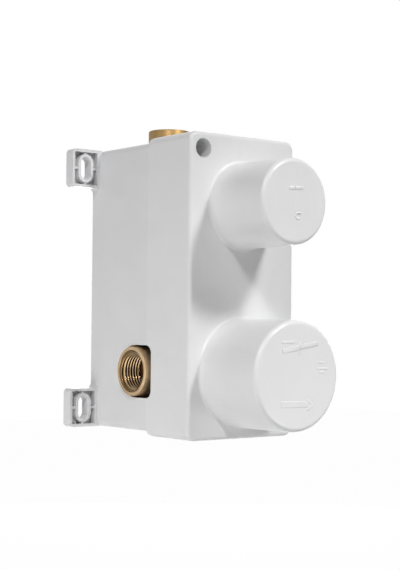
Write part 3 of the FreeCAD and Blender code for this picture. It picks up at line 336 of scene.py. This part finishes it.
def finish_of(node, slot):
    """The finish of a material slot. Turned brass follows the axis of its own piece."""
    if slot != "brass":
        return FINISHES[slot]
    name = "turned_" + node
    axis, bore, shades = TURNED_BRASS[node]
    return bpy.data.materials.get(name) or turned_brass(name, axis, middle_of(node), bore, *shades)


def dress_nodes():
    """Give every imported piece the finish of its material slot."""
    for subpart in frame["record"]["subparts"]:
        node = subpart["node"]
        mesh = nodes[node].data
        mesh.materials.clear()
        mesh.materials.append(finish_of(node, subpart["material_slot"]))


dress_nodes()


# Modelling steps used by several pieces

MERGE_DISTANCE = 0.002 * MM
SMOOTH_ANGLE = math.radians(35)
ROUND_SEGMENTS = 96


def pick(piece):
    """Select one object alone and make it the active one."""
    bpy.ops.object.select_all(action="DESELECT")
    piece.select_set(True)
    bpy.context.view_layer.objects.active = piece


def tidy():
    """Merge doubles, point the faces outward and smooth the active piece, which is in edit mode."""
    bpy.ops.mesh.select_all(action="SELECT")
    bpy.ops.mesh.remove_doubles(threshold=MERGE_DISTANCE)
    bpy.ops.mesh.normals_make_consistent(inside=False)
    bpy.ops.object.mode_set(mode="OBJECT")
    bpy.ops.object.shade_smooth_by_angle(angle=SMOOTH_ANGLE)


def block(size, middle):
    """A box of the given size around a point, with its own origin at zero."""
    bpy.ops.object.select_all(action="DESELECT")
    bpy.ops.mesh.primitive_cube_add(size=1)
    piece = bpy.context.object
    bpy.ops.object.mode_set(mode="EDIT")
    bpy.ops.transform.resize(value=size)
    bpy.ops.transform.translate(value=middle)
    bpy.ops.object.mode_set(mode="OBJECT")
    return piece


def turned(name, steps, hollow=True, segments=ROUND_SEGMENTS):
    """A piece turned about Z through (height, radius) steps. A hollow one closes on its first ring."""
    bpy.ops.object.select_all(action="DESELECT")
    height, radius = steps[0]
    bpy.ops.mesh.primitive_circle_add(vertices=segments, radius=radius)
    piece = bpy.context.object
    piece.name = name
    bpy.ops.object.mode_set(mode="EDIT")
    bpy.ops.mesh.select_all(action="SELECT")
    bpy.ops.transform.translate(value=(0, 0, height))
    for next_height, next_radius in steps[1:]:
        bpy.ops.mesh.extrude_edges_move(TRANSFORM_OT_translate={"value": (0, 0, next_height - height)})
        scale = next_radius / radius
        bpy.ops.transform.resize(value=(scale, scale, 1), center_override=(0, 0, next_height))
        height, radius = next_height, next_radius
    bpy.ops.mesh.select_mode(type="EDGE")
    if hollow:
        bpy.ops.mesh.select_all(action="DESELECT")
        bpy.ops.mesh.select_non_manifold()
        bpy.ops.mesh.bridge_edge_loops()
    else:
        bpy.ops.mesh.select_all(action="SELECT")
        bpy.ops.mesh.fill_holes(sides=0)
    tidy()
    return piece


def coiled(name, profile, pitch, start, turns, steps):
    """A ridge coiled about Z: the (radius, height) corners of its profile climb from the start height."""
    bpy.ops.object.select_all(action="DESELECT")
    bpy.ops.mesh.primitive_circle_add(vertices=len(profile), radius=profile[0][0])
    ridge = bpy.context.object
    ridge.name = name
    for vertex, (radius, height) in zip(ridge.data.vertices, profile):
        vertex.co = (radius, 0, start + height)
    sweep = ridge.modifiers.new("sweep", "SCREW")
    sweep.screw_offset = pitch
    sweep.iterations = turns
    sweep.steps = steps
    sweep.render_steps = steps
    bpy.ops.object.modifier_apply(modifier=sweep.name)
    bpy.ops.object.mode_set(mode="EDIT")
    bpy.ops.mesh.select_all(action="SELECT")
    bpy.ops.mesh.fill_holes(sides=0)
    tidy()
    return ridge


def carve(piece, tool):
    """Cut the tool's shape out of a piece. The tool is used up."""
    pick(piece)
    cut = piece.modifiers.new("cut", "BOOLEAN")
    cut.object = tool
    bpy.ops.object.modifier_apply(modifier=cut.name)
    bpy.data.objects.remove(tool)


def join(name, pieces):
    pick(pieces[0])
    for piece in pieces:
        piece.select_set(True)
    bpy.ops.object.join()
    pieces[0].name = name
    return pieces[0]


def copy_of(piece, name):
    made = piece.copy()
    made.data = piece.data.copy()
    made.name = name
    bpy.context.scene.collection.objects.link(made)
    return made


def merged_copy(node, name):
    """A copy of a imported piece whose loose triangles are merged, ready for modelling."""
    made = copy_of(nodes[node], name)
    pick(made)
    bpy.ops.mesh.customdata_custom_splitnormals_clear()
    bpy.ops.object.mode_set(mode="EDIT")
    tidy()
    return made


def flatten_shading(piece):
    """Let the large faces of a piece set its shading."""
    weigh = piece.modifiers.new("flat faces", "WEIGHTED_NORMAL")
    weigh.keep_sharp = True
    bpy.ops.object.modifier_apply(modifier=weigh.name)


def lay(piece, origin, axis):
    """Put a piece that was modelled about Z on an axis, with its own origin at the point given."""
    turn = Vector((0, 0, 1)).rotation_difference(Vector(axis)).to_matrix().to_4x4()
    piece.data.transform(Matrix.Translation(Vector(origin)) @ turn)


def finish_piece(piece, finish, body, slot, *replaced):
    """Give a new piece its look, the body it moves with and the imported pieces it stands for."""
    piece.data.materials.clear()
    piece.data.materials.append(finish)
    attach(piece, body)
    if replaced:
        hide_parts(*replaced)


# Threaded sockets

PIPE_ROUND = 0.249 * MM
PIPE_ARC = math.radians(62.5)
PIPE_ARC_STEPS = 3
PIPE_STEPS = 72
PIPE_FADE_SHARE = 0.25
SHANK_LENGTH = 8.5 * MM
SOCKET_EDGE = 0.6 * MM
SOCKET_BITE = SOCKET_EDGE / 3
INLET_SIZES = {"thread": 13 * MM, "chamfer": 2.4 * MM, "shank": 10.4 * MM, "channel": 7 * MM}
OUTLET_SIZES = {"thread": 9 * MM, "chamfer": 1.4 * MM, "shank": 8.9 * MM, "channel": 6.5 * MM}


def thread_profile():
    """Corners of one ridge of a pipe thread, as (radius, height): round crest and roots, sunk in the wall."""
    crest, root = [], []
    for angle in arc_angles(PIPE_ARC, PIPE_ARC_STEPS):
        rise = PIPE_ROUND * (1 - math.cos(angle))
        side = PIPE_ROUND * math.sin(angle)
        crest.append((PIPE_MINOR + rise, side))
        root.append((PIPE_MAJOR - rise, PIPE_PITCH / 2 - side))
    upper = crest[1:] + root[:0:-1] + [(PIPE_MAJOR + SOCKET_BITE, root[1][1])]
    lower = [(radius, -height) for radius, height in reversed(upper)]
    return lower + crest[:1] + upper


def flare(ridge, lead, chamfer):
    """Push a thread outward near the mouth, so that it fades into the chamfer there."""
    for vertex in ridge.data.vertices:
        reach = math.hypot(vertex.co.x, vertex.co.y)
        push = max(0, vertex.co.z + lead) + max(0, vertex.co.z + chamfer) * PIPE_FADE_SHARE
        vertex.co.x *= (reach + push) / reach
        vertex.co.y *= (reach + push) / reach


def make_socket(flange, radius, thread, chamfer, shank, channel):
    """A socket about Z with its mouth at 0, a real pipe thread in its flange and a shank behind."""
    lead = chamfer - (PIPE_MAJOR - PIPE_MINOR)
    back = -flange - SHANK_LENGTH
    wall = turned("socket", [
        (back, channel),
        (back, shank - SOCKET_EDGE),
        (back + SOCKET_EDGE, shank),
        (-flange, shank),
        (-flange, radius - SOCKET_EDGE / 2),
        (-flange + SOCKET_EDGE / 2, radius),
        (-SOCKET_EDGE, radius),
        (-SOCKET_EDGE / 3, radius - SOCKET_EDGE / 3),
        (0, radius - SOCKET_EDGE),
        (0, PIPE_MINOR + chamfer),
        (-lead, PIPE_MAJOR),
        (-thread, PIPE_MAJOR),
        (-thread, channel),
    ])
    turns = math.ceil(thread / PIPE_PITCH) + 1
    climb = turns * PIPE_PITCH
    ridge = coiled("pipe_thread", thread_profile(), PIPE_PITCH, -thread - PIPE_PITCH / 2, turns, PIPE_STEPS)
    flare(ridge, lead, chamfer)
    clear = PIPE_MAJOR + SOCKET_BITE + chamfer + climb
    past_mouth = [(-SOCKET_BITE, clear), (climb, clear)]
    past_bore = [(-thread - climb, clear), (-thread - SOCKET_BITE, clear)]
    carve(ridge, turned("mouth_end", past_mouth, hollow=False))
    carve(ridge, turned("bore_end", past_bore, hollow=False))
    return join("socket", [wall, ridge])


def add_sockets(names, sizes):
    """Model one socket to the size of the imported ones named, and put a copy at each."""
    mounts = {mount["name"]: Vector(mount["axis"]) for mount in frame["record"]["mounts"]}
    low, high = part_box(names[0] + "_socket")
    length = abs(mounts[names[0]].dot(high - low))
    radius = (high - low).y / 2
    pattern = make_socket(length - SHANK_LENGTH, radius, **sizes)
    for name in names:
        node = name + "_socket"
        socket = copy_of(pattern, name + "_threaded_socket")
        lay(socket, middle_of(node) + mounts[name] * length / 2, mounts[name])
        finish_piece(socket, finish_of(node, "brass"), "base", "brass", node)
    bpy.data.objects.remove(pattern)


add_sockets(("hot_inlet", "cold_inlet"), INLET_SIZES)
add_sockets(("shower_outlet",), OUTLET_SIZES)
add_sockets(("bath_outlet",), OUTLET_SIZES)


# Screws

SCREW_HEAD_HEIGHT = 2.8 * MM
SCREW_HEAD_ROUND = 1.0 * MM
SCREW_HEAD_STEPS = 4
SCREW_SEGMENTS = 48
SCREW_PITCH = 1.3 * MM
SCREW_RIDGE = 0.4 * MM
SCREW_RIDGE_STEPS = 24
SCREW_POINT = 2.2 * MM
SCREW_TIP_SHARE = 0.2
RECESS_WIDTH = 1.1 * MM
RECESS_DEPTH = 1.8 * MM
RECESS_SPAN_SHARE = 1.15
RECESS_FOOT_LENGTH_SHARE = 0.5
RECESS_FOOT_WIDTH_SHARE = 0.7
COVER_SCREW = {"radius": 1.6 * MM, "head_radius": 4 * MM}
BODY_SCREW = {"radius": 1.9 * MM, "head_radius": 3.8 * MM}
LOWER_LEFT, UPPER_LEFT = (False, False), (False, True)
LOWER_RIGHT, UPPER_RIGHT = (True, False), (True, True)


def recess_blade(span):
    """One blade of the driver's cross, narrower at the bottom."""
    blade = block((span, RECESS_WIDTH, RECESS_DEPTH * 2), (0, 0, SCREW_HEAD_HEIGHT))
    for vertex in blade.data.vertices:
        if vertex.co.z < SCREW_HEAD_HEIGHT:
            vertex.co.x *= RECESS_FOOT_LENGTH_SHARE
            vertex.co.y *= RECESS_FOOT_WIDTH_SHARE
    return blade


def make_screw(length, radius, head_radius):
    """A self-tapping screw about Z, its head seated at 0 and its point below."""
    core = radius - SCREW_RIDGE
    point = -length + SCREW_POINT
    steps = [(-length, core * SCREW_TIP_SHARE), (point, core), (0, core), (0, head_radius)]
    for angle in arc_angles(QUARTER_TURN, SCREW_HEAD_STEPS):
        height = SCREW_HEAD_HEIGHT - SCREW_HEAD_ROUND * (1 - math.sin(angle))
        steps.append((height, head_radius - SCREW_HEAD_ROUND * (1 - math.cos(angle))))
    screw = turned("screw", steps, hollow=False, segments=SCREW_SEGMENTS)
    for angle in (0, QUARTER_TURN):
        blade = recess_blade(head_radius * RECESS_SPAN_SHARE)
        blade.data.transform(rotation(angle, "Z"))
        carve(screw, blade)
    turns = math.floor((length - SCREW_POINT) / SCREW_PITCH) - 1
    half = SCREW_PITCH / 4
    root = core - SCREW_RIDGE / 2
    profile = [(root, -half), (radius, 0), (root, half)]
    ridge = coiled("screw_thread", profile, SCREW_PITCH, point, turns, SCREW_RIDGE_STEPS)
    return join("screw", [screw, ridge])


def add_screws(node, body, corners, radius, head_radius):
    """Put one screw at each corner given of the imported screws' box, joined as one piece."""
    low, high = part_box(node)
    length = high.y - low.y - SCREW_HEAD_HEIGHT
    pattern = make_screw(length, radius, head_radius)
    screws = []
    for right, top in corners:
        x = high.x - head_radius if right else low.x + head_radius
        z = high.z - head_radius if top else low.z + head_radius
        screw = copy_of(pattern, "screw_copy")
        lay(screw, (x, low.y + SCREW_HEAD_HEIGHT, z), (0, -1, 0))
        screws.append(screw)
    bpy.data.objects.remove(pattern)
    finish_piece(join("threaded_" + node, screws), FINISHES["steel"], body, "steel", node)


add_screws("cover_screws", "cover", (UPPER_LEFT, LOWER_RIGHT), **COVER_SCREW)
add_screws("body_screws", "base", (LOWER_LEFT, UPPER_LEFT, LOWER_RIGHT, UPPER_RIGHT), **BODY_SCREW)


# Housing with rounder ears

EAR_ROUND = 2.7 * MM
EAR_GAP = 40 * MM


def ear_ends(mesh, reach):
    """Heights at which the ears end and which way each end faces, from the lowest up."""
    heights = sorted(vertex.co.z for vertex in mesh.vertices if vertex.co.x > reach - EAR_ROUND)
    ends = [(heights[0], -1)]
    for below, above in zip(heights, heights[1:]):
        if above - below > EAR_GAP:
            ends += [(below, 1), (above, -1)]
    return ends + [(heights[-1], 1)]


def corner_cutter(corner, side, up, length):
    """A bar along Y over an ear's outer corner, hollowed to the radius that the corner gets."""
    bar = block((EAR_ROUND * 2, length, EAR_ROUND * 2), corner)
    hollow = turned("hollow", [(-length, EAR_ROUND), (length, EAR_ROUND)], hollow=False)
    lay(hollow, corner - Vector((side, 0, up)) * EAR_ROUND, (0, 1, 0))
    carve(bar, hollow)
    return bar


def add_round_ears():
    """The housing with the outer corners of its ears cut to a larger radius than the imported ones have."""
    housing = merged_copy("rear_housing", "round_eared_housing")
    low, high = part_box("rear_housing")
    length = (high.y - low.y) * 2
    cutters = []
    for side in (-1, 1):
        for height, up in ear_ends(housing.data, high.x):
            corner = Vector((side * high.x, (low.y + high.y) / 2, height))
            cutters.append(corner_cutter(corner, side, up, length))
    carve(housing, join("ear_cutters", cutters))
    bpy.ops.object.mode_set(mode="EDIT")
    tidy()
    flatten_shading(housing)
    finish_piece(housing, FINISHES["white_abs"], "base", "white_abs", "rear_housing")


add_round_ears()


# Guard with raised marks on its caps

MARK_HEIGHT = 0.32 * MM
MARK_SLOPE = 0.55 * MM
MARK_SLOPE_SHARE = 0.4
MARK_SOFT = 0.12 * MM
MARK_SOFT_STEPS = 2
MARK_ROOT = 0.3 * MM
FACING_UP = 0.5
CAP_EDGE = 2.5 * MM
CAP_FACE_RADIUS = 26 * MM
CAP_STEP = 2.5 * MM

# Strokes of the marks: both ends and the width, in millimetres from the middle of the cap

MIXER_MARKS = [
    ((-9.4, 12.9), (12.4, 16.6), 1.7),
    ((-10.2, 17.2), (-3, 17.4), 1.7),
    ((1, 11.4), (1.6, 17), 1.6),
    ((-9.8, -14.2), (5.6, -14.5), 3.6),
    ((10.2, -14.9), (7, -12.4), 1.3),
    ((10.2, -14.9), (7, -17.4), 1.3),
    ((13.8, 3.6), (20.2, 3.6), 1.4),
    ((15.4, 1.6), (17.8, 1.6), 1.2),
    ((15, 6.7), (17.6, 6.7), 1.2),
]
DIVERTER_MARKS = [
    ((-3.6, 6.5), (-1.4, 6.7), 1.8),
    ((0.6, 6.9), (4.4, 7.2), 1.8),
    ((3.2, -6), (0.4, -6.2), 1.1),
    ((0.4, -6.2), (-0.2, -7.7), 1.1),
    ((-0.2, -7.7), (0.8, -9), 1.1),
    ((0.8, -9), (2.4, -9), 1.1),
]


def add_marked_cover(front, middle):
    """The guard with the end of its longer cap set back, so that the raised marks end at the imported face."""
    cover = merged_copy("front_cover", "marked_cover")
    # The outer skin of the cap's end moves, and its inner wall stays
    for vertex in cover.data.vertices:
        behind = vertex.co.y - front
        out = math.hypot(vertex.co.x, vertex.co.z - middle)
        vertex.select = out > CAP_FACE_RADIUS + behind and behind < CAP_EDGE + MARK_ROOT
    bpy.ops.object.mode_set(mode="EDIT")
    bpy.ops.mesh.select_mode(type="VERT")
    bpy.ops.transform.translate(value=(0, MARK_HEIGHT, 0))
    bpy.ops.object.mode_set(mode="OBJECT")
    flatten_shading(cover)
    finish_piece(cover, FINISHES["guard_abs"], "cover", "white_abs", "front_cover")


def raised(start, end, width):
    """A low stroke with sloping sides, from one row of a table of marks."""
    start, end, width = Vector(start) * MM, Vector(end) * MM, width * MM
    along = end - start
    stroke = block((along.length + width, width, MARK_ROOT), (0, 0, -MARK_ROOT / 2))
    for face in stroke.data.polygons:
        face.select = face.normal.z > FACING_UP
    bpy.ops.object.mode_set(mode="EDIT")
    bpy.ops.mesh.select_mode(type="FACE")
    bpy.ops.mesh.inset(thickness=min(MARK_SLOPE, width * MARK_SLOPE_SHARE), depth=MARK_HEIGHT)
    bpy.ops.mesh.bevel(offset=MARK_SOFT, segments=MARK_SOFT_STEPS)
    tidy()
    place = Matrix.Translation(((start + end) / 2).to_3d())
    stroke.data.transform(place @ rotation(math.atan2(along.y, along.x), "Z"))
    return stroke


def add_marks(name, strokes, face, middle):
    """Join strokes into one mark on a cap whose face and middle height are given."""
    mark = join(name, [raised(*stroke) for stroke in strokes])
    mark.data.transform(Matrix.Translation((0, face, middle)) @ rotation(QUARTER_TURN, "X"))
    finish_piece(mark, FINISHES["guard_abs"], "cover", "white_abs")


def add_marked_caps():
    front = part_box("front_cover")[0].y
    mixer, diverter = middle_of("cartridge_nut").z, middle_of("diverter_headwork").z
    add_marked_cover(front, mixer)
    add_marks("mixer_cap_marks", MIXER_MARKS, front + MARK_HEIGHT, mixer)
    add_marks("diverter_cap_marks", DIVERTER_MARKS, front + CAP_STEP + MARK_HEIGHT / 2, diverter)


add_marked_caps()


# Stage, light and camera

FLOOR_SIZE = 6
FLOOR_DROP = 0.25
FLOOR_PALE = colour(0.9, 0.9, 0.9)
FLOOR_GLOW = 0.985
SKY_WHITE = colour(1, 1, 1)
AMBIENT = 0.04
SEEN_SKY = 1

MIDDLE = (0, -0.06, 0)
LOWER_CAP = (0, -0.09, -0.11)
WIDE = 180
LAMPS = {
    "upper_right": dict(place=(0.38, -1.04, 0.94), power=0.95, size=0.22, target=LOWER_CAP, spread=50),
    "upper_left": dict(place=(-1.35, -1.53, 1.5), power=0.57, size=0.3, target=LOWER_CAP, spread=30),
    "left_card": dict(place=(-0.8, -0.1, 0.1), power=1.12, size=0.6),
    "low_left": dict(place=(-0.38, -0.1, -0.3), power=1.25, size=0.4),
    "low_right": dict(place=(0.3, -0.6, -0.25), power=0.078, size=0.2, target=LOWER_CAP, spread=60),
    "behind": dict(place=(0.95, 1.15, -0.05), power=8, size=0.6),
}

IMAGE_HEIGHT_PX = 570
FOCAL_LENGTH_PX = 1300
SENSOR = 36
EYE = Vector((-0.4497, -0.6269, -0.0202))
VIEW_DIRECTION = Vector((0.6178, 0.7858, 0.0301))
ROLL = math.radians(0.5)


def seen_white(tree):
    """How far a ray is one that should see a white studio: from the camera, a reflection or a refraction."""
    path = tree.nodes.new("ShaderNodeLightPath")
    total = path.outputs["Is Camera Ray"]
    for name in ("Is Glossy Ray", "Is Transmission Ray"):
        either = tree.nodes.new("ShaderNodeMath")
        either.operation = "MAXIMUM"
        tree.links.new(total, either.inputs[0])
        tree.links.new(path.outputs[name], either.inputs[1])
        total = either.outputs[0]
    return total


def add_floor():
    """A pale floor under the unit that looks almost white but still shows a shadow."""
    bpy.ops.object.select_all(action="DESELECT")
    bpy.ops.mesh.primitive_plane_add(size=FLOOR_SIZE, location=(0, 0, cad_box[0].z - FLOOR_DROP))
    floor = bpy.context.object
    floor.name = "floor"
    material = bpy.data.materials.new("pale_floor")
    material.use_nodes = True
    tree = material.node_tree
    tree.nodes.clear()
    output = tree.nodes.new("ShaderNodeOutputMaterial")
    mix = tree.nodes.new("ShaderNodeMixShader")
    share = tree.nodes.new("ShaderNodeMath")
    share.operation = "MULTIPLY"
    share.inputs[1].default_value = FLOOR_GLOW
    diffuse = tree.nodes.new("ShaderNodeBsdfDiffuse")
    diffuse.inputs["Color"].default_value = FLOOR_PALE
    glow = tree.nodes.new("ShaderNodeEmission")
    tree.links.new(seen_white(tree), share.inputs[0])
    tree.links.new(share.outputs[0], mix.inputs[0])
    tree.links.new(diffuse.outputs[0], mix.inputs[1])
    tree.links.new(glow.outputs[0], mix.inputs[2])
    tree.links.new(mix.outputs[0], output.inputs[0])
    floor.data.materials.append(material)


def add_world():
    """A sky that gives little light but is seen as white."""
    world = bpy.data.worlds.new("studio")
    bpy.context.scene.world = world
    world.use_nodes = True
    tree = world.node_tree
    tree.nodes.clear()
    output = tree.nodes.new("ShaderNodeOutputWorld")
    mix = tree.nodes.new("ShaderNodeMixShader")
    for place, strength in ((1, AMBIENT), (2, SEEN_SKY)):
        sky = tree.nodes.new("ShaderNodeBackground")
        sky.inputs["Color"].default_value = SKY_WHITE
        sky.inputs["Strength"].default_value = strength
        tree.links.new(sky.outputs[0], mix.inputs[place])
    tree.links.new(seen_white(tree), mix.inputs[0])
    tree.links.new(mix.outputs[0], output.inputs[0])


def add_lamp(name, place, power, size, target=MIDDLE, spread=WIDE):
    """A square lamp. A narrow one lights what it aims at more than what lies around."""
    lamp = bpy.data.lights.new(name, "AREA")
    lamp.energy = power
    lamp.size = size
    lamp.spread = math.radians(spread)
    made = bpy.data.objects.new(name, lamp)
    made.location = place
    made.rotation_euler = (Vector(target) - Vector(place)).to_track_quat("-Z", "Y").to_euler()
    bpy.context.scene.collection.objects.link(made)


def add_camera():
    data = bpy.data.cameras.new("camera")
    data.sensor_fit = "AUTO"
    data.sensor_width = SENSOR
    data.lens = FOCAL_LENGTH_PX / IMAGE_HEIGHT_PX * SENSOR
    camera = bpy.data.objects.new("camera", data)
    turn = VIEW_DIRECTION.to_track_quat("-Z", "Y").to_matrix().to_4x4()
    camera.matrix_world = Matrix.Translation(EYE) @ turn @ rotation(ROLL, "Z")
    bpy.context.scene.collection.objects.link(camera)
    bpy.context.scene.camera = camera


add_floor()
add_world()
for name, settings in LAMPS.items():
    add_lamp(name, **settings)
add_camera()

bpy.context.scene.view_settings.view_transform = "Standard"
